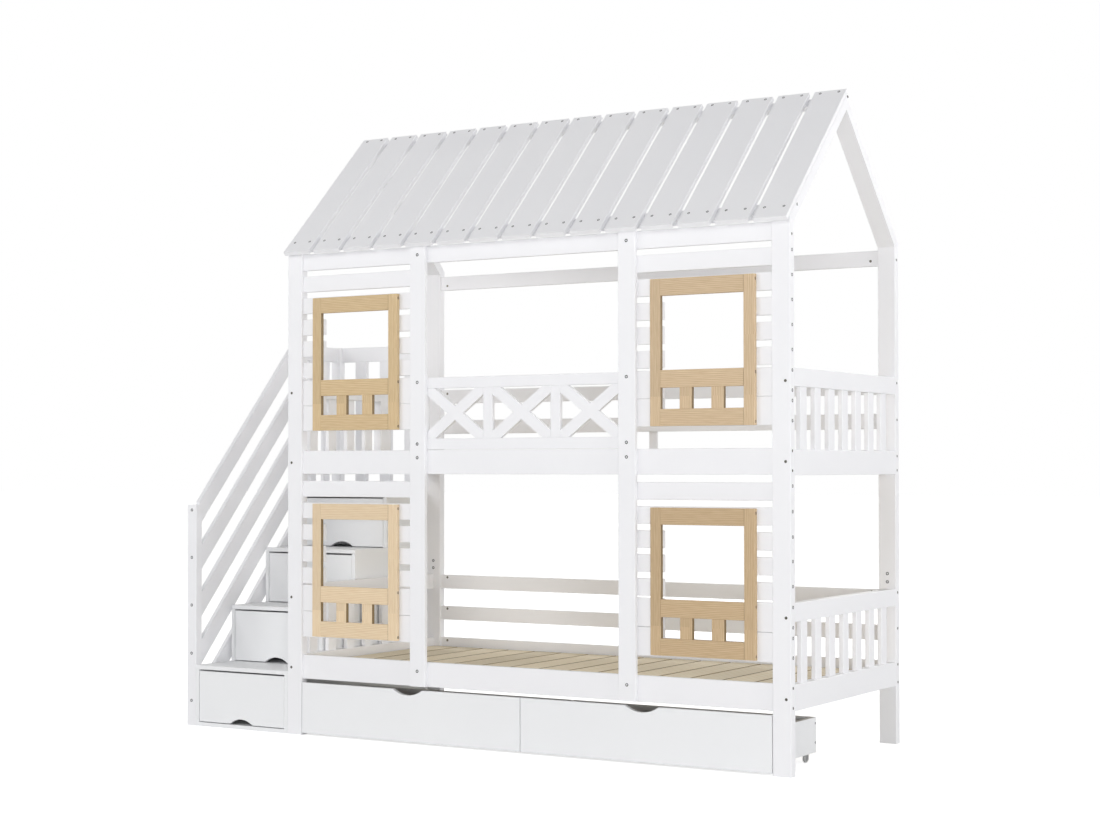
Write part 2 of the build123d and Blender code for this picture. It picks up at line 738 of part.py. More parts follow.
def bed_drawer(front_x):
    """Rolling drawer: a front, wider than the open box behind it."""
    y = (0, BOARD)
    front = block(front_x, y, (BED_FRONT_BOTTOM, BED_FRONT_TOP))
    front = chamfer(front.faces().sort_by(Axis.Y)[0].edges(), EASE)
    middle = (front_x[0] + front_x[1]) / 2
    front = front - pull_cut(middle, BED_FRONT_TOP, BED_PULL_WIDTH, -BED_PULL_DROP, y)
    x = bed_box_limits(front_x)
    z = (BED_BOX_BOTTOM, BED_BOX_TOP)
    box = drawer_box(x, (BOARD, BED_BOX_REAR), z, PANEL, DRAWER_BOX_FLOOR)
    return [front] + box


def build():
    """Write every node of the bed."""
    os.makedirs("parts", exist_ok=True)
    bores = bolt_bores()
    nuts = nut_bores()
    lower = (0, POST_SPLIT)
    upper = (POST_SPLIT, POST_TOP)

    # Posts
    for name, z in (("lower", lower), ("upper", upper)):
        front = corner_post((0, POST_DEPTH), z)
        rear = corner_post((REAR_FACE, BED_WIDTH), z)
        save(f"front_left_{name}_post", [drilled(front, bores)])
        save(f"front_right_{name}_post", [drilled(mirrored(front), bores)])
        save(f"rear_left_{name}_post", [drilled(rear, bores)])
        save(f"rear_right_{name}_post", [drilled(mirrored(rear), bores)])
    save("middle_posts", middle_posts())

    # Rails and beams
    lower_rail = (LOWER_RAIL_BOTTOM, LOWER_RAIL_TOP)
    upper_rail = (UPPER_RAIL_BOTTOM, UPPER_RAIL_TOP)
    rear_beam = (REAR_BEAM_TOP - REAR_BEAM_HEIGHT, REAR_BEAM_TOP)
    save("front_top_beam", [drilled(front_rail((POST_TOP - FRONT_BEAM_HEIGHT, POST_TOP)), nuts)])
    save("rear_top_beam", [drilled(rear_rail(rear_beam), nuts)])
    save("upper_front_side_rail", [drilled(front_rail(upper_rail), nuts)])
    save("upper_rear_side_rail", [drilled(rear_rail(upper_rail), nuts)])
    save("lower_front_side_rail", [drilled(front_rail(lower_rail), nuts)])
    save("lower_rear_side_rail", [drilled(rear_rail(lower_rail), nuts)])
    upper_guard = [drilled(rail, nuts) for rail in rear_guard(UPPER_GUARD_RAIL_BOTTOMS)]
    save("upper_rear_guard_rails", upper_guard + [guard_strut()])
    lower_guard = [drilled(rail, nuts) for rail in rear_guard(LOWER_GUARD_RAIL_BOTTOMS)]
    save("lower_rear_guard_rails", lower_guard)

    # House walls and windows
    upper_wall = wall_boards(
        UPPER_BOARDS_TOP, UPPER_WIDE_TOP, UPPER_WIDE_BOARD, UPPER_WINDOW_BOTTOM
    )
    lower_wall = wall_boards(
        LOWER_BOARDS_TOP, LOWER_WIDE_TOP, LOWER_WIDE_BOARD, LOWER_WINDOW_BOTTOM
    )
    save("upper_left_wall_boards", upper_wall)
    save("upper_right_wall_boards", [mirrored(board) for board in upper_wall])
    save("lower_left_wall_boards", lower_wall)
    save("lower_right_wall_boards", [mirrored(board) for board in lower_wall])
    for side, centre in zip(("left", "right"), BAY_CENTRES):
        save(f"upper_{side}_window", window(centre, UPPER_WINDOW_BOTTOM))
        save(f"lower_{side}_window", window(centre, LOWER_WINDOW_BOTTOM))
    save("cross_guard", cross_guard())

    # End boards
    upper_end = end_board(UPPER_END_RAIL, UPPER_END_TOP_RAIL)
    lower_end = end_board(LOWER_END_RAIL, LOWER_END_TOP_RAIL)
    save("upper_left_end_board", half_end_board())
    save("upper_right_end_board", [mirrored(piece) for piece in upper_end])
    save("lower_left_end_board", lower_end)
    save("lower_right_end_board", [mirrored(piece) for piece in lower_end])

    # Bed bases
    save("slat_ledges", slat_ledges(LOWER_RAIL_BOTTOM) + slat_ledges(UPPER_RAIL_BOTTOM))
    save("bed_slats", bed_slats(LOWER_RAIL_BOTTOM) + bed_slats(UPPER_RAIL_BOTTOM))

    # Roof
    save("left_gable_rafters", gable())
    save("right_gable_rafters", [mirrored(rafter) for rafter in gable()])
    save("roof_boards", roof_boards())
    save("roof_battens", roof_battens())

    # Stairs
    save("stair_side_panels", [stair_side(STAIR_LEFT), stair_side(-PANEL)])
    save("stair_treads", [tread(n) for n in range(STAIR_STEPS)])
    save("stair_base_and_back", stair_base_and_back())
    for n in range(STAIR_STEPS):
        save(f"stair_drawer_{n + 1}", stair_drawer(n))
    save("handrail_posts", newels())
    save("handrail_boards", handrail_boards())
    save("landing_guards", landing_guards())

    # Drawers under the bed
    inner = (POST_WIDTH + BED_FRONT_GAP, BED_LENGTH - POST_WIDTH - BED_FRONT_GAP)
    middle = BED_LENGTH / 2
    half_gap = BED_FRONT_GAP / 2
    fronts = {"left": (inner[0], middle - half_gap), "right": (middle + half_gap, inner[1])}
    corners = ("front_left", "front_right", "rear_left", "rear_right")
    for side, front_x in fronts.items():
        save(f"{side}_bed_drawer", bed_drawer(front_x))
        places = caster_places(bed_box_limits(front_x))
        save(f"{side}_drawer_caster_forks", [caster_fork(cx, cy) for cx, cy in places])
        for corner, (cx, cy) in zip(corners, places):
            save(f"{side}_drawer_{corner}_wheel", [caster_wheel(cx, cy)])

    # Fixings
    save("frame_bolts", bolt_heads())
    save("barrel_nuts", barrel_nuts())


build()
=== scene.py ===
import math

import bpy
from mathutils import Matrix, Vector


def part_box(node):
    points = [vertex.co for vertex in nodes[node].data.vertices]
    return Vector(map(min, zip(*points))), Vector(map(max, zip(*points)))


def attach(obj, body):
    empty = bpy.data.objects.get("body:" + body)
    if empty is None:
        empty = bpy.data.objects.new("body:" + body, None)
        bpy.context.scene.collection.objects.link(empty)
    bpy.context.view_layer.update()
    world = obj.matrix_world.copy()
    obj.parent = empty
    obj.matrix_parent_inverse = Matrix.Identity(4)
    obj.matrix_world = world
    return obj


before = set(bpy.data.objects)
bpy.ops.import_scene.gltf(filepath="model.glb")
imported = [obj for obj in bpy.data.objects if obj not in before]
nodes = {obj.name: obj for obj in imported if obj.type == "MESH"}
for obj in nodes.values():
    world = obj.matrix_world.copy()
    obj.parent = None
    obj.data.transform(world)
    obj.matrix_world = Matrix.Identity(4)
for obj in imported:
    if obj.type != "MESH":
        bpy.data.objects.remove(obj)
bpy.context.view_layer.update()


# Corner posts and middle posts.
# Planed pine, sprayed with white satin paint; each corner post is two halves, end on end.
# Rails and boards meet the inner edges of the posts; small screws hold them from outside.
def linear(colour):
    """An sRGB hex value as the linear colour a shader socket takes."""
    parts = [int(colour[k : k + 2], 16) / 255 for k in (1, 3, 5)]
    return [c / 12.92 if c <= 0.04045 else ((c + 0.055) / 1.055) ** 2.4 for c in parts] + [1.0]


def add_node(tree, kind, inputs, **settings):
    """One shader node with its settings, then its values and links."""
    made = tree.nodes.new(kind)
    for name, value in settings.items():
        setattr(made, name, value)
    for socket, value in inputs.items():
        if isinstance(value, bpy.types.NodeSocket):
            tree.links.new(value, made.inputs[socket])
        else:
            made.inputs[socket].default_value = value
    return made


def new_material(name):
    """An empty node material and its tree."""
    material = bpy.data.materials.new(name)
    material.use_nodes = True
    material.node_tree.nodes.clear()
    return material, material.node_tree


def dress(node_names, material):
    """Give CAD nodes a finish through their own material slots."""
    for name in node_names:
        for slot in nodes[name].material_slots:
            slot.material = material


PAINT_LIGHT = linear("#f5f5f7")
PAINT_SHADE = linear("#f1f1f4")


def painted_pine(name, grain_axis, tilt=0.0):
    """White satin acrylic on planed pine: low sheen, grain just felt through the film."""
    material, tree = new_material(name)
    place = add_node(tree, "ShaderNodeTexCoord", {}).outputs["Object"]
    # raised grain, 5 mm across the board and 160 mm along it, coarse enough to show
    size = [0.005, 0.005, 0.005]
    size[grain_axis] = 0.16
    along = add_node(
        tree,
        "ShaderNodeMapping",
        {"Vector": place, "Rotation": (tilt, 0, 0), "Scale": size},
        vector_type="TEXTURE",
    )
    grain = add_node(
        tree, "ShaderNodeTexNoise", {"Vector": along.outputs[0], "Scale": 1.0, "Detail": 3.0}
    )
    # the sprayed film varies over about 300 mm
    cloud = add_node(tree, "ShaderNodeTexNoise", {"Vector": place, "Scale": 3.3, "Detail": 1.0})
    tone = add_node(
        tree,
        "ShaderNodeMix",
        {"Factor": cloud.outputs["Fac"], "A": PAINT_LIGHT, "B": PAINT_SHADE},
        data_type="RGBA",
    )
    sheen = add_node(
        tree,
        "ShaderNodeMapRange",
        {"Value": grain.outputs["Fac"], "To Min": 0.40, "To Max": 0.52},
    )
    relief = add_node(
        tree,
        "ShaderNodeBump",
        {"Height": grain.outputs["Fac"], "Strength": 0.25, "Distance": 0.0003},
    )
    shader = add_node(
        tree,
        "ShaderNodeBsdfPrincipled",
        {
            "Base Color": tone.outputs["Result"],
            "Roughness": sheen.outputs[0],
            "IOR": 1.47,
            "Normal": relief.outputs[0],
        },
    )
    add_node(tree, "ShaderNodeOutputMaterial", {"Surface": shader.outputs[0]})
    return material


upright_paint = painted_pine("white_painted_pine_upright", 2)
dress(
    [
        f"{depth}_{side}_{half}_post"
        for depth in ("front", "rear")
        for side in ("left", "right")
        for half in ("lower", "upper")
    ]
    + ["middle_posts"],
    upright_paint,
)

# The bed's own corner on the floor: places below are in metres from it.
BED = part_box("front_left_lower_post")[0]
BED_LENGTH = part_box("front_right_lower_post")[1].x - BED.x

# Cross-recessed wood screws with black oxide on hardened steel.
HEAD_RADIUS = 0.005
HEAD_PROUD = 0.0001


def black_oxide():
    """Blackened steel screw head: dark, half matt, a little worn on the rim."""
    material, tree = new_material("black_oxide_steel")
    place = add_node(tree, "ShaderNodeTexCoord", {}).outputs["Object"]
    # wear varies from one head to the next, over about 20 mm
    wear = add_node(tree, "ShaderNodeTexNoise", {"Vector": place, "Scale": 50.0, "Detail": 2.0})
    colour = add_node(
        tree,
        "ShaderNodeMix",
        {"Factor": wear.outputs["Fac"], "A": linear("#161514"), "B": linear("#2f2d2a")},
        data_type="RGBA",
    )
    shader = add_node(
        tree,
        "ShaderNodeBsdfPrincipled",
        {"Base Color": colour.outputs["Result"], "Metallic": 0.2, "Roughness": 0.5},
    )
    add_node(tree, "ShaderNodeOutputMaterial", {"Surface": shader.outputs[0]})
    return material


def deselect_all():
    for item in bpy.context.selected_objects:
        item.select_set(False)


def select_faces(obj, wanted):
    """Select the faces for which wanted(face) holds, seen from object mode."""
    bpy.ops.object.mode_set(mode="EDIT")
    bpy.ops.mesh.select_all(action="DESELECT")
    bpy.ops.object.mode_set(mode="OBJECT")
    for face in obj.data.polygons:
        face.select = wanted(face)
    bpy.ops.object.mode_set(mode="EDIT")


def screw_head():
    """One screw head facing +Z, with its top at z = 0 and a cross recess."""
    deselect_all()
    bpy.ops.mesh.primitive_cylinder_add(
        vertices=12, radius=HEAD_RADIUS, depth=0.002, location=(0, 0, -0.001)
    )
    head = bpy.context.object
    bpy.ops.object.transform_apply(location=True, rotation=True, scale=True)
    bpy.ops.object.mode_set(mode="EDIT")
    bpy.ops.mesh.select_mode(type="FACE")
    select_faces(head, lambda face: face.normal.z > 0.9)
    bpy.ops.mesh.inset(thickness=HEAD_RADIUS * 0.35)
    bpy.ops.object.mode_set(mode="OBJECT")
    # pull every third corner of the inner ring in, which makes the four arms of the cross
    top = max((f for f in head.data.polygons if f.normal.z > 0.9), key=lambda f: len(f.vertices))
    ring = [v for v in top.vertices]
    bpy.ops.object.mode_set(mode="EDIT")
    bpy.ops.mesh.select_mode(type="VERT")
    bpy.ops.mesh.select_all(action="DESELECT")
    bpy.ops.object.mode_set(mode="OBJECT")
    for place, index in enumerate(ring):
        head.data.vertices[index].select = place % 3 == 0
    bpy.ops.object.mode_set(mode="EDIT")
    bpy.ops.transform.resize(value=(0.4, 0.4, 1.0), center_override=(0, 0, 0))
    bpy.ops.mesh.select_mode(type="FACE")
    select_faces(head, lambda face: face.index == top_index(head))
    bpy.ops.mesh.extrude_region_move(TRANSFORM_OT_translate={"value": (0, 0, -0.0012)})
    bpy.ops.object.mode_set(mode="OBJECT")
    return head


def top_index(head):
    """The face inside the inset ring: the top face with the most corners."""
    tops = [f for f in head.data.polygons if f.normal.z > 0.9]
    return max(tops, key=lambda face: len(face.vertices)).index


def set_screws(name, pattern, spots, body, material, proud=HEAD_PROUD, scale=1.0):
    """Copies of the head at each (place, outward direction), joined as one piece."""
    copies = []
    for place, outward in spots:
        turn = Vector(outward).to_track_quat("Z", "Y").to_matrix().to_4x4()
        seat = BED + Vector(place) + Vector(outward).normalized() * proud
        copy = pattern.copy()
        copy.data = pattern.data.copy()
        copy.data.transform(Matrix.Translation(seat) @ turn @ Matrix.Scale(scale, 4))
        bpy.context.scene.collection.objects.link(copy)
        copies.append(copy)
    deselect_all()
    for copy in copies:
        copy.select_set(True)
    bpy.context.view_layer.objects.active = copies[0]
    bpy.ops.object.join()
    piece = bpy.context.object
    piece.name = name
    piece.data.materials.clear()
    piece.data.materials.append(material)
    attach(piece, body)
    return piece


screw = screw_head()
screw_steel = black_oxide()
EDGE_SCREWS = (
    1.726, 1.644, 1.562, 1.480, 1.398, 1.331, 1.265, 1.231, 1.165,
    0.951, 0.867, 0.784, 0.704, 0.622, 0.554, 0.488, 0.453, 0.389,
)  # fmt: skip
MIDDLE_SCREWS = (1.790, 1.323, 1.098, 1.048, 0.270)
MIDDLE_POSTS = (0.605, 1.475)
MIDDLE_POST_FACE = -0.009
REAR_POST_FACE = 0.935
POST_WIDTH = 0.066
POST_DEPTH = 0.035
spots = []
for z in EDGE_SCREWS:
    spots.append(((0, POST_DEPTH / 2, z), (-1, 0, 0)))
    spots.append(((BED_LENGTH, POST_DEPTH / 2, z), (1, 0, 0)))
for x in MIDDLE_POSTS:
    spots += [((x, MIDDLE_POST_FACE, z), (0, -1, 0)) for z in MIDDLE_SCREWS]
for x in (POST_WIDTH / 2, BED_LENGTH - POST_WIDTH / 2):
    spots += [((x, REAR_POST_FACE, z), (0, -1, 0)) for z in (0.622, 0.592)]
set_screws("post_screws", screw, spots, "frame", screw_steel, scale=1.2)


# Long rails, beams, guard rails and ledges.
# The same planed pine and white satin paint, with the grain along the bed.
# Cross dowel nuts in their inner faces take the bolts that come through the posts.
long_paint = painted_pine("white_painted_pine_long", 0)
dress(
    [
        "front_top_beam",
        "rear_top_beam",
        "upper_front_side_rail",
        "upper_rear_side_rail",
        "lower_front_side_rail",
        "lower_rear_side_rail",
        "upper_rear_guard_rails",
        "lower_rear_guard_rails",
        "slat_ledges",
        "roof_battens",
        "cross_guard",
        "upper_left_wall_boards",
        "upper_right_wall_boards",
        "lower_left_wall_boards",
        "lower_right_wall_boards",
    ],
    long_paint,
)


# End boards at both ends of the two beds.
# Two thick rails with upright bars let in between them, painted like the rest.
# The rails are bolted through the corner posts.
cross_paint = painted_pine("white_painted_pine_cross", 1)
dress(
    [f"{floor}_{side}_end_board" for floor in ("upper", "lower") for side in ("left", "right")],
    cross_paint,
)


# Windows in the four side bays.
# Flat pine frames with a clear matt lacquer: stiles full height, rails and bars between.
# They are screwed to the wall boards through the edges of their stiles.
WINDOW_WIDTH = 0.390
STILE = 0.040
LOW_PANES = (0.058, 0.130)
BAR_PITCH = 0.088
RAIL_PITCH = 0.20
EDGE_MARGIN = 0.003


def window_pine(name, node, pale, tan, late):
    """Clear-lacquered pine, straight-grained, with each stick's grain along its length."""
    material, tree = new_material(name)
    low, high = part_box(node)
    middle = (low.x + high.x) / 2
    place = add_node(tree, "ShaderNodeTexCoord", {}).outputs["Object"]
    local = add_node(
        tree,
        "ShaderNodeMapping",
        {"Vector": place, "Location": (middle, low.y, low.z)},
        vector_type="TEXTURE",
    )
    split = add_node(tree, "ShaderNodeSeparateXYZ", {"Vector": local.outputs[0]})
    x, y, z = (split.outputs[k] for k in range(3))

    def calc(operation, *values):
        inputs = {k: value for k, value in enumerate(values)}
        return add_node(tree, "ShaderNodeMath", inputs, operation=operation).outputs[0]

    stile = calc("GREATER_THAN", calc("ABSOLUTE", x), WINDOW_WIDTH / 2 - STILE)
    over_low = calc("GREATER_THAN", z, LOW_PANES[0])
    under_high = calc("LESS_THAN", z, LOW_PANES[1])
    upright = calc("MAXIMUM", stile, calc("MULTIPLY", over_low, under_high))
    # a stick's number, so that no two share their grain
    column = calc("MULTIPLY", calc("ROUND", calc("DIVIDE", x, BAR_PITCH)), upright)
    row = calc("ROUND", calc("DIVIDE", z, RAIL_PITCH))
    number = calc("ADD", calc("MULTIPLY", column, 7.3), calc("MULTIPLY", row, 3.1))
    number = calc("MULTIPLY", number, calc("SUBTRACT", 1.0, calc("MULTIPLY", stile, 0.5)))
    lying = add_node(tree, "ShaderNodeCombineXYZ", {"X": x, "Y": y, "Z": z})
    standing = add_node(tree, "ShaderNodeCombineXYZ", {"X": z, "Y": y, "Z": x})
    grain = add_node(
        tree,
        "ShaderNodeMix",
        {"Factor": upright, "A": lying.outputs[0], "B": standing.outputs[0]},
        data_type="VECTOR",
    ).outputs["Result"]
    shift = add_node(tree, "ShaderNodeCombineXYZ", {"X": number, "Y": number, "Z": 0.0})
    grain = add_node(
        tree, "ShaderNodeVectorMath", {0: grain, 1: shift.outputs[0]}, operation="ADD"
    ).outputs[0]
    # growth rings 6 mm apart across the stick, wandering slowly along it
    slow = add_node(
        tree,
        "ShaderNodeMapping",
        {"Vector": grain, "Scale": (9.0, 2.0, 1.0)},
        vector_type="TEXTURE",
    )
    rings = add_node(
        tree,
        "ShaderNodeTexWave",
        {
            "Vector": slow.outputs[0],
            "Scale": 0.314 / 0.006,
            "Distortion": 4.5,
            "Detail": 3.0,
            "Detail Scale": 0.6,
        },
        wave_type="BANDS",
        bands_direction="Z",
        wave_profile="SAW",
    )
    wood = add_node(tree, "ShaderNodeValToRGB", {"Fac": rings.outputs["Fac"]})
    ramp = wood.color_ramp
    ramp.elements[0].position, ramp.elements[0].color = 0.0, linear(pale)
    ramp.elements[1].position, ramp.elements[1].color = 1.0, linear(pale)
    for position, colour in ((0.55, tan), (0.86, late)):
        ramp.elements.new(position).color = linear(colour)
    # fibres 2 mm thick and 60 mm long, about as fine as the picture shows
    fine = add_node(
        tree,
        "ShaderNodeMapping",
        {"Vector": grain, "Scale": (0.06, 0.002, 0.002)},
        vector_type="TEXTURE",
    )
    fibre = add_node(
        tree, "ShaderNodeTexNoise", {"Vector": fine.outputs[0], "Scale": 1.0, "Detail": 2.0}
    )
    streak = add_node(
        tree,
        "ShaderNodeMapRange",
        {"Value": fibre.outputs["Fac"], "From Min": 0.3, "From Max": 0.7, "To Min": 0.35},
    )
    streaked = add_node(
        tree,
        "ShaderNodeMix",
        {"Factor": 0.35, "A": wood.outputs[0], "B": streak.outputs[0]},
        data_type="RGBA",
        blend_type="SOFT_LIGHT",
    )
    # each stick is its own shade
    shade = add_node(tree, "ShaderNodeTexWhiteNoise", {"W": number}, noise_dimensions="1D")
    tinted = add_node(
        tree,
        "ShaderNodeHueSaturation",
        {
            "Color": streaked.outputs["Result"],
            "Value": add_node(
                tree,
                "ShaderNodeMapRange",
                {"Value": shade.outputs["Value"], "To Min": 0.93, "To Max": 1.05},
            ).outputs[0],
        },
    )
    # the side faces of the stiles, rails and bars inside the frame are coloured dark brown:
    # painted shade for the frame's recessed inner edges
    facing = add_node(tree, "ShaderNodeNewGeometry", {}).outputs["Normal"]
    sideways = add_node(tree, "ShaderNodeSeparateXYZ", {"Vector": facing}).outputs[0]
    inside = calc("LESS_THAN", calc("ABSOLUTE", x), WINDOW_WIDTH / 2 - EDGE_MARGIN)
    edge = calc("MULTIPLY", calc("GREATER_THAN", calc("ABSOLUTE", sideways), 0.9), inside)
    painted_shade_edges = add_node(
        tree,
        "ShaderNodeMix",
        {"Factor": edge, "A": tinted.outputs[0], "B": linear("#8d7753")},
        data_type="RGBA",
    )
    relief = add_node(
        tree,
        "ShaderNodeBump",
        {"Height": fibre.outputs["Fac"], "Strength": 0.3, "Distance": 0.0003},
    )
    shader = add_node(
        tree,
        "ShaderNodeBsdfPrincipled",
        {
            "Base Color": painted_shade_edges.outputs["Result"],
            "Roughness": 0.55,
            "IOR": 1.5,
            "Normal": relief.outputs[0],
        },
    )
    add_node(tree, "ShaderNodeOutputMaterial", {"Surface": shader.outputs[0]})
    return material


WINDOW_TONES = {
    "upper_left": ("#d6bd93", "#ceb38a", "#bd9c71"),
    "lower_left": ("#ead3b2", "#e4cba9", "#d3b68d"),
    "upper_right": ("#d2ba98", "#cbb18f", "#ba9c79"),
    "lower_right": ("#c7ae8b", "#c0a580", "#b1916b"),
}
for place, tones in WINDOW_TONES.items():
    node = f"{place}_window"
    dress([node], window_pine(f"lacquered_pine_{node}", node, *tones))
spots = []
for floor in ("upper", "lower"):
    for side in ("left", "right"):
        low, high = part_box(f"{floor}_{side}_window")
        for rise in (0.485, 0.176, 0.012):
            height = low.z + rise
            depth = (low.y + high.y) / 2 - BED.y
            spots.append(((high.x - BED.x, depth, height), (1, 0, 0)))
            spots.append(((low.x - BED.x, depth, height), (-1, 0, 0)))
set_screws("window_screws", screw, spots, "frame", screw_steel)


# Bed slats of both beds.
# Sawn pine, unpainted, lying loose on the ledges with a finger's gap between them.
# A screw at each end holds a slat to its ledge.
SLAT_COUNT = 16
SLAT_GAP = 0.008


def slat_pine():
    """Bare pine slats: grain across the bed, every slat another shade."""
    material, tree = new_material("bare_pine_slats")
    low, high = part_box("bed_slats")
    place = add_node(tree, "ShaderNodeTexCoord", {}).outputs["Object"]
    split = add_node(tree, "ShaderNodeSeparateXYZ", {"Vector": place})
    pitch = (high.x - low.x + SLAT_GAP) / SLAT_COUNT
    count = add_node(
        tree, "ShaderNodeMath", {0: split.outputs[0], 1: low.x}, operation="SUBTRACT"
    )
    count = add_node(
        tree, "ShaderNodeMath", {0: count.outputs[0], 1: pitch}, operation="DIVIDE"
    )
    count = add_node(tree, "ShaderNodeMath", {0: count.outputs[0]}, operation="FLOOR").outputs[0]
    slat = add_node(tree, "ShaderNodeTexWhiteNoise", {"W": count}, noise_dimensions="1D")
    shift = add_node(tree, "ShaderNodeCombineXYZ", {"X": 0.0, "Y": count, "Z": count})
    grain = add_node(
        tree, "ShaderNodeVectorMath", {0: place, 1: shift.outputs[0]}, operation="ADD"
    ).outputs[0]
    slow = add_node(
        tree,
        "ShaderNodeMapping",
        {"Vector": grain, "Scale": (1.0, 9.0, 1.0)},
        vector_type="TEXTURE",
    )
    # rings 22 mm apart: broad cathedral figure, as on flat-sawn slats
    rings = add_node(
        tree,
        "ShaderNodeTexWave",
        {
            "Vector": slow.outputs[0],
            "Scale": 0.314 / 0.022,
            "Distortion": 5.0,
            "Detail": 2.0,
            "Detail Scale": 1.0,
        },
        wave_type="BANDS",
        bands_direction="X",
        wave_profile="SAW",
    )
    wood = add_node(tree, "ShaderNodeValToRGB", {"Fac": rings.outputs["Fac"]})
    ramp = wood.color_ramp
    ramp.elements[0].position, ramp.elements[0].color = 0.0, linear("#f9f1de")
    ramp.elements[1].position, ramp.elements[1].color = 1.0, linear("#f7eedb")
    for position, colour in ((0.6, "#f2e6cc"), (0.88, "#e1cda6")):
        ramp.elements.new(position).color = linear(colour)
    shaded = add_node(
        tree,
        "ShaderNodeHueSaturation",
        {
            "Color": wood.outputs[0],
            "Value": add_node(
                tree,
                "ShaderNodeMapRange",
                {"Value": slat.outputs["Value"], "To Min": 0.84, "To Max": 1.02},
            ).outputs[0],
        },
    )
    # the slats' side faces, down in the gaps between slats, are coloured brown: painted shade
    # between the slats
    facing = add_node(tree, "ShaderNodeNewGeometry", {}).outputs["Normal"]
    sideways = add_node(tree, "ShaderNodeSeparateXYZ", {"Vector": facing}).outputs[0]
    sideways = add_node(tree, "ShaderNodeMath", {0: sideways}, operation="ABSOLUTE").outputs[0]
    edge = add_node(tree, "ShaderNodeMath", {0: sideways, 1: 0.5}, operation="GREATER_THAN")
    painted_shade_edges = add_node(
        tree,
        "ShaderNodeMix",
        {"Factor": edge.outputs[0], "A": shaded.outputs[0], "B": linear("#8f7b58")},
        data_type="RGBA",
    )
    fine = add_node(
        tree,
        "ShaderNodeMapping",
        {"Vector": grain, "Scale": (0.003, 0.08, 0.003)},
        vector_type="TEXTURE",
    )
    fibre = add_node(
        tree, "ShaderNodeTexNoise", {"Vector": fine.outputs[0], "Scale": 1.0, "Detail": 2.0}
    )
    relief = add_node(
        tree,
        "ShaderNodeBump",
        {"Height": fibre.outputs["Fac"], "Strength": 0.4, "Distance": 0.0004},
    )
    shader = add_node(
        tree,
        "ShaderNodeBsdfPrincipled",
        {
            "Base Color": painted_shade_edges.outputs["Result"],
            "Roughness": 0.7,
            "IOR": 1.5,
            "Normal": relief.outputs[0],
        },
    )
    add_node(tree, "ShaderNodeOutputMaterial", {"Surface": shader.outputs[0]})
    return material


dress(["bed_slats"], slat_pine())


# Gables and roof.
# Rafters of planed pine, and fifteen painted boards screwed to a ridge and an eave batten.
# Two screws at each end of a board, set a finger's width in from its edges.
ROOF_PITCH = math.radians(44.1)
roof_paint = painted_pine("white_painted_pine_roof", 1, ROOF_PITCH)
dress(["left_gable_rafters", "right_gable_rafters", "roof_boards"], roof_paint)
BOARD_COUNT = 15
BOARD_WIDTH = 0.120
BOARD_THICKNESS = 0.017
SCREW_INSET = 0.025
EAVE_RUN = 0.056
RIDGE_RUN = 0.013
roof_low, roof_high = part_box("roof_boards")
pitch = (BED_LENGTH - BOARD_WIDTH) / (BOARD_COUNT - 1)
outward = Vector((0, -math.sin(ROOF_PITCH), math.cos(ROOF_PITCH)))
uphill = Vector((0, math.cos(ROOF_PITCH), math.sin(ROOF_PITCH)))
spots = []
board_rise = BOARD_THICKNESS * math.cos(ROOF_PITCH)
slope_length = (roof_high.z - roof_low.z - board_rise) / math.sin(ROOF_PITCH)
eave = Vector((0, roof_low.y - BED.y, roof_low.z + board_rise))
for n in range(BOARD_COUNT):
    for inset in (SCREW_INSET, BOARD_WIDTH - SCREW_INSET):
        for run in (EAVE_RUN, slope_length - RIDGE_RUN):
            spot = eave + uphill * run
            spots.append(((n * pitch + inset, spot.y, spot.z), outward))
for x, side in ((0, -1), (BED_LENGTH, 1)):
    spots.append(((x, 0.496, 2.304), (side, 0, 0)))
    spots.append(((x, 0.060, 1.880), (side, 0, 0)))
set_screws("roof_screws", screw, spots, "frame", screw_steel)


# Box stairs with four drawers and a handrail.
# Melamine-faced board for the sides, treads and drawers; painted pine for the rail.
# Treads cap the side panels; the drawers run on the treads below them.
def white_board():
    """White foil-faced board: even and smooth, with a faint moulded stipple."""
    material, tree = new_material("white_faced_board")
    place = add_node(tree, "ShaderNodeTexCoord", {}).outputs["Object"]
    # the pearl texture of the foil is 1 mm in truth and drawn at 3 mm, to show at all
    stipple = add_node(
        tree, "ShaderNodeTexNoise", {"Vector": place, "Scale": 330.0, "Detail": 1.0}
    )
    cloud = add_node(tree, "ShaderNodeTexNoise", {"Vector": place, "Scale": 2.5, "Detail": 1.0})
    tone = add_node(
        tree,
        "ShaderNodeMix",
        {"Factor": cloud.outputs["Fac"], "A": linear("#f3f4f5"), "B": linear("#eff0f2")},
        data_type="RGBA",
    )
    relief = add_node(
        tree,
        "ShaderNodeBump",
        {"Height": stipple.outputs["Fac"], "Strength": 0.12, "Distance": 0.0002},
    )
    shader = add_node(
        tree,
        "ShaderNodeBsdfPrincipled",
        {
            "Base Color": tone.outputs["Result"],
            "Roughness": 0.38,
            "IOR": 1.5,
            "Normal": relief.outputs[0],
        },
    )
    add_node(tree, "ShaderNodeOutputMaterial", {"Surface": shader.outputs[0]})
    return material


faced_board = white_board()
dress(
    ["stair_side_panels", "stair_treads", "stair_base_and_back"]
    + [f"stair_drawer_{n}" for n in (1, 2, 3, 4)]
    + ["left_bed_drawer", "right_bed_drawer"],
    faced_board,
)
dress(["handrail_posts", "landing_guards"], upright_paint)
dress(["handrail_boards"], painted_pine("white_painted_pine_handrail", 1, math.radians(47.6)))
newel_low, newel_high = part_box("handrail_posts")
newel_x = (newel_low.x + newel_high.x) / 2 - BED.x
spots = [((newel_x, 0, z), (0, -1, 0)) for z in (0.846, 0.659, 0.472, 0.283, 0.098)]
set_screws("handrail_screws", screw, spots, "frame", screw_steel, scale=1.2)


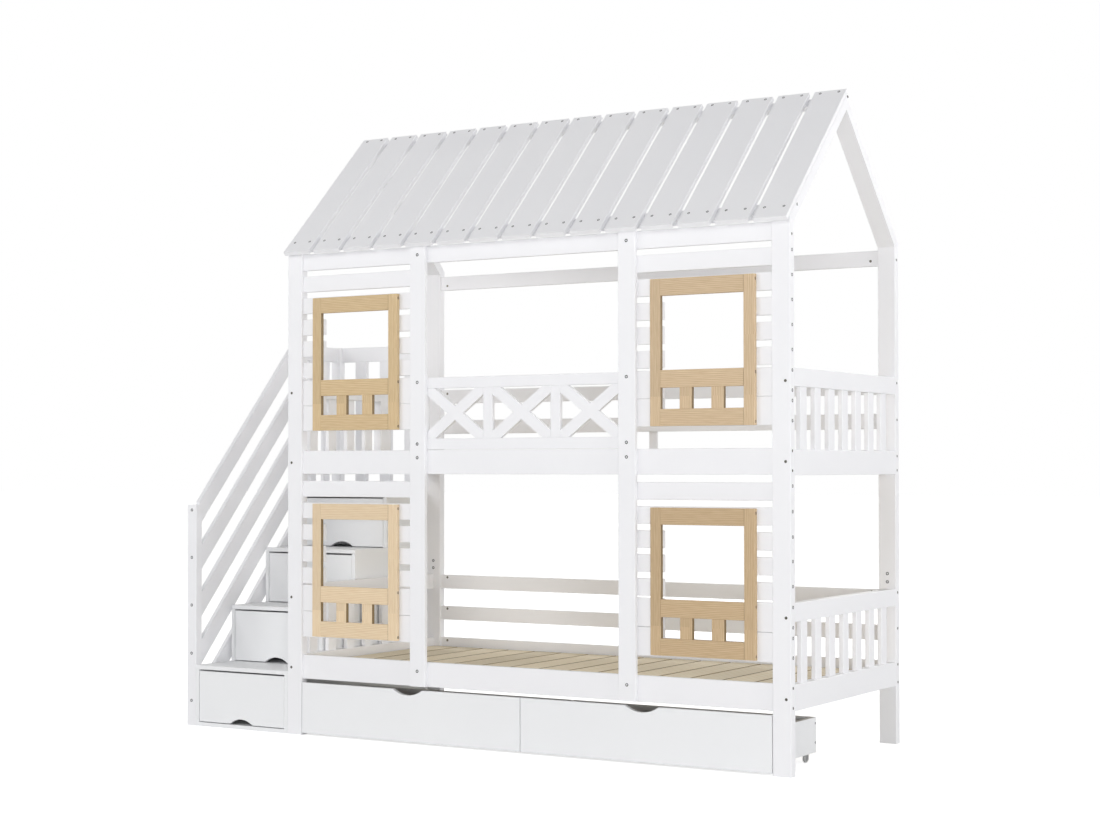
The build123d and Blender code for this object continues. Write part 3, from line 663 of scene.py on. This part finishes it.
# Rolling drawers under the bed.
# White faced board; each drawer stands on four small fixed casters.
# Two screws hold each side to the back from outside.
for side in ("left", "right"):
    low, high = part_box(f"{side}_bed_drawer")
    spots = []
    rear = high.y - BED.y - 0.008
    for edge, way in ((low.x + 0.004, -1), (high.x - 0.004, 1)):
        spots += [((edge - BED.x, rear, z), (way, 0, 0)) for z in (0.134, 0.068)]
    set_screws(f"{side}_drawer_screws", screw, spots, f"{side}_bed_drawer", screw_steel, scale=0.8)


# Caster forks, frame bolts and nuts.
# Forks are folded zinc-plated sheet; bolts are blackened socket screws.
# Barrel nuts are turned steel, left dark.
def plated_steel(name, dark, bright, roughness, metallic):
    """Plated or blackened steel with slight clouding in the plating."""
    material, tree = new_material(name)
    place = add_node(tree, "ShaderNodeTexCoord", {}).outputs["Object"]
    # the plating clouds over about 8 mm
    cloud = add_node(tree, "ShaderNodeTexNoise", {"Vector": place, "Scale": 120.0, "Detail": 3.0})
    colour = add_node(
        tree,
        "ShaderNodeMix",
        {"Factor": cloud.outputs["Fac"], "A": linear(dark), "B": linear(bright)},
        data_type="RGBA",
    )
    shader = add_node(
        tree,
        "ShaderNodeBsdfPrincipled",
        {"Base Color": colour.outputs["Result"], "Metallic": metallic, "Roughness": roughness},
    )
    add_node(tree, "ShaderNodeOutputMaterial", {"Surface": shader.outputs[0]})
    return material


dress(
    ["left_drawer_caster_forks", "right_drawer_caster_forks"],
    plated_steel("zinc_plated_sheet", "#a9abac", "#c6c8c9", 0.35, 1.0),
)
dress(["frame_bolts"], plated_steel("blackened_bolt_steel", "#4a4843", "#7b776d", 0.4, 0.8))
dress(["barrel_nuts"], plated_steel("turned_nut_steel", "#6b6862", "#8f8b83", 0.4, 0.9))


# Caster wheels.
# Small one-piece wheels moulded in light grey polypropylene.
# They turn on the pin across the fork.
def grey_polypropylene():
    """Moulded polypropylene: soft sheen, faint flow marks."""
    material, tree = new_material("grey_polypropylene")
    place = add_node(tree, "ShaderNodeTexCoord", {}).outputs["Object"]
    # flow marks about 6 mm long
    flow = add_node(tree, "ShaderNodeTexNoise", {"Vector": place, "Scale": 160.0, "Detail": 2.0})
    colour = add_node(
        tree,
        "ShaderNodeMix",
        {"Factor": flow.outputs["Fac"], "A": linear("#b4b4b3"), "B": linear("#c6c6c5")},
        data_type="RGBA",
    )
    shader = add_node(
        tree,
        "ShaderNodeBsdfPrincipled",
        {"Base Color": colour.outputs["Result"], "Roughness": 0.45, "IOR": 1.49},
    )
    add_node(tree, "ShaderNodeOutputMaterial", {"Surface": shader.outputs[0]})
    return material


dress([name for name in nodes if name.endswith("_wheel")], grey_polypropylene())
bpy.data.objects.remove(screw)


# Floor, light and camera.
# A plain white studio: pale floor, soft surround and four broad lamps round the bed.
# The camera stands where the photograph was taken from.
deselect_all()
bpy.ops.mesh.primitive_plane_add(size=120)
floor = bpy.context.object
floor.name = "floor"
floor_paper, tree = new_material("white_floor_paper")
ray = add_node(tree, "ShaderNodeLightPath", {})
paper = add_node(tree, "ShaderNodeBsdfDiffuse", {"Color": linear("#f2f2f2")})
seen = add_node(tree, "ShaderNodeEmission", {"Color": (1, 1, 1, 1), "Strength": 0.72})
both = add_node(tree, "ShaderNodeAddShader", {0: paper.outputs[0], 1: seen.outputs[0]})
mixed = add_node(
    tree,
    "ShaderNodeMixShader",
    {0: ray.outputs["Is Camera Ray"], 1: paper.outputs[0], 2: both.outputs[0]},
)
add_node(tree, "ShaderNodeOutputMaterial", {"Surface": mixed.outputs[0]})
floor.data.materials.append(floor_paper)

world = bpy.data.worlds.new("studio")
bpy.context.scene.world = world
world.use_nodes = True
tree = world.node_tree
tree.nodes.clear()
ray = add_node(tree, "ShaderNodeLightPath", {})
towards = add_node(tree, "ShaderNodeTexCoord", {})
height = add_node(tree, "ShaderNodeSeparateXYZ", {"Vector": towards.outputs["Generated"]})
# the walls of the studio are brighter than its ceiling
strength = add_node(
    tree,
    "ShaderNodeMapRange",
    {
        "Value": height.outputs[2],
        "From Min": 0.0,
        "From Max": 1.0,
        "To Min": 0.44,
        "To Max": 0.34,
    },
)
plain = add_node(
    tree,
    "ShaderNodeMath",
    {0: ray.outputs["Is Camera Ray"], 1: ray.outputs["Is Glossy Ray"]},
    operation="MAXIMUM",
)
plain = add_node(
    tree,
    "ShaderNodeMath",
    {0: plain.outputs[0], 1: ray.outputs["Is Transmission Ray"]},
    operation="MAXIMUM",
)
level = add_node(
    tree,
    "ShaderNodeMix",
    {"Factor": plain.outputs[0], "A": strength.outputs[0], "B": 1.0},
    data_type="FLOAT",
)
surround = add_node(
    tree, "ShaderNodeBackground", {"Color": (1, 1, 1, 1), "Strength": level.outputs["Result"]}
)
add_node(tree, "ShaderNodeOutputWorld", {"Surface": surround.outputs[0]})

for name, place, size, power in (
    ("camera_key", (6.6, -10.8, 0.95), (5.0, 1.5), 440.0),
    ("left_fill", (-5.0, -8.5, 4.6), (7.0, 4.0), 265.0),
    ("right_fill", (9.0, -1.5, 2.0), (4.0, 3.0), 185.0),
    ("rear_fill", (1.0, 8.5, 4.5), (7.0, 4.0), 320.0),
):
    lamp = bpy.data.lights.new(name, "AREA")
    lamp.shape = "RECTANGLE"
    lamp.size, lamp.size_y = size
    lamp.energy = power
    stand = bpy.data.objects.new(name, lamp)
    stand.location = place
    aim = Vector((0.2, 0, 1.1)) - stand.location
    stand.rotation_euler = aim.to_track_quat("-Z", "Y").to_euler()
    bpy.context.scene.collection.objects.link(stand)

lens = bpy.data.cameras.new("photo_camera")
lens.sensor_fit = "HORIZONTAL"
lens.sensor_width = 36.0
lens.lens = 65.29
lens.shift_x = 0.02458
lens.shift_y = 0.01896
camera = bpy.data.objects.new("photo_camera", lens)
camera.location = (3.9710, -6.4711, 1.0116)
camera.rotation_euler = (math.radians(90.999), math.radians(0.0365), math.radians(31.705))
bpy.context.scene.collection.objects.link(camera)
bpy.context.scene.camera = camera
bpy.context.scene.view_settings.view_transform = "Standard"
